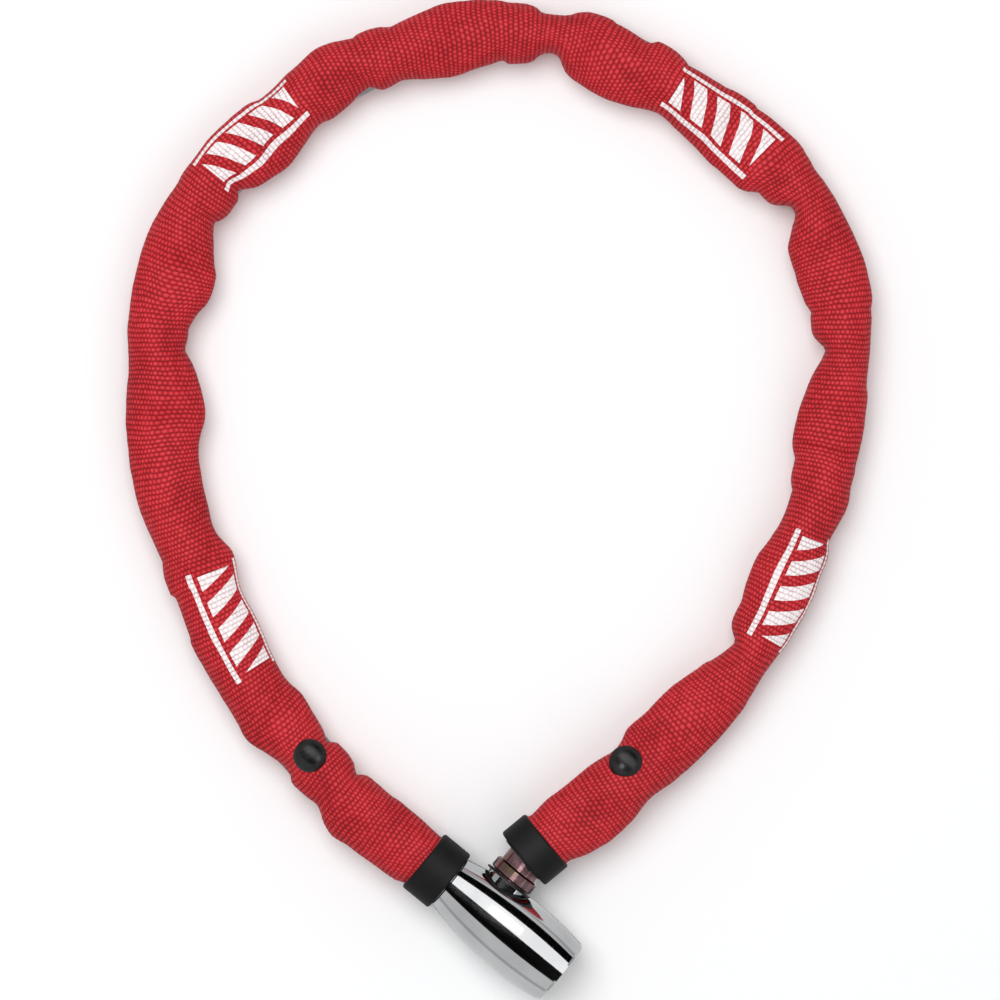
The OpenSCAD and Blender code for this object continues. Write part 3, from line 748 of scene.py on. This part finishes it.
def soft_light(name, size, power, place, aim):
    lamp = bpy.data.lights.new(name, "AREA")
    lamp.shape, lamp.size, lamp.energy = "DISK", size, power
    stand = bpy.data.objects.new(name, lamp)
    stand.location = Vector(place)
    stand.rotation_euler = (Vector(aim) - Vector(place)).to_track_quat("-Z", "Y").to_euler()
    bpy.context.scene.collection.objects.link(stand)
    return stand


soft_light("overhead", 1.1, 13, (-0.25, 0.35, 1.3), (0, 0, 0))
soft_light("fill", 1.4, 4, (0.6, -0.7, 1.2), (0, 0, 0))
world = bpy.data.worlds.new("studio")
world.use_nodes = True
world.node_tree.nodes["Background"].inputs["Color"].default_value = srgb("#F2F4F6")
world.node_tree.nodes["Background"].inputs["Strength"].default_value = 0.5
bpy.context.scene.world = world
bpy.context.scene.view_settings.view_transform = "Standard"

# %% Cards for the chrome
CARD_HEIGHT, CARD_LENGTH = 0.5, 1.4


def board(name, length, width, middle, colour, glow):
    """A level board for reflections only. middle is in metres from the barrel's tail, x along the barrel."""
    mesh = bmesh.new()
    bmesh.ops.create_grid(mesh, x_segments=1, y_segments=1, size=0.5)
    bmesh.ops.scale(mesh, vec=(length, width, 1), verts=mesh.verts)
    turn = Matrix.Rotation(BARREL_TURN, 4, "Z") @ Matrix.Translation(middle)
    bmesh.ops.transform(mesh, matrix=Matrix.Translation(TAIL.to_2d().to_3d() * MM) @ turn, verts=mesh.verts)
    data = bpy.data.meshes.new(name)
    mesh.to_mesh(data)
    mesh.free()
    surface, its_shader = begin(name, Base_Color=srgb("#0A0A0B"), Roughness=1.0, Specular_IOR_Level=0.0)
    its_shader.inputs["Emission Color"].default_value = srgb(colour)
    its_shader.inputs["Emission Strength"].default_value = glow
    data.materials.append(surface)
    piece = bpy.data.objects.new(name, data)
    piece.visible_camera = piece.visible_diffuse = piece.visible_shadow = False
    bpy.context.scene.collection.objects.link(piece)


def card(name, from_angle, to_angle, colour, glow):
    """A card over the barrel that fills a range of angles from straight up towards the stud's side."""
    near, far = (CARD_HEIGHT * math.tan(math.radians(a)) for a in (from_angle, to_angle))
    board(name, CARD_LENGTH, far - near, Vector((0.02, (near + far) / 2, CARD_HEIGHT)), colour, glow)


card("card_grey_tail", -78, -37, "#DCDCDC", 0.9)
card("card_black_tail", -36, 4, "#101214", 0.0)
card("card_white", 4, 45, "#FFFFFF", 1.3)
card("card_black_stud", 45, 72, "#101214", 0.0)
card("card_grey_stud", 73, 82, "#DCDCDC", 0.9)

# %% [markdown]
# The stud lies across the barrel, and a small white board hangs low over it for the streak along its top. The
# barrel sees that board only inside the reflection of the white card.

# %% Streak on the stud
board("streak_board", 22 * MM, 24 * MM, Vector((0.014, 0.023, 0.07)), "#FFFFFF", 4.5)

# %% [markdown]
# The lower half of the chrome mirrors the table. A grey sheet and a dark strip under the barrel, again seen
# only in reflections, keep its edges apart from the white paper. The dark strip is a painted shadow under the
# barrel for the chrome to mirror.

# %% Grey sheet and dark strip
board("sheet_grey", 3.0, 3.0, Vector((0.015, 0, 0)), "#DADADA", 1.0)
# Painted shadow: a dim strip that stands in for the shade under the barrel, seen only in the chrome.
board("painted_shadow_strip", 48 * MM, 26 * MM, Vector((0.015, 0, 0.00005)), "#6E6E70", 1.0)
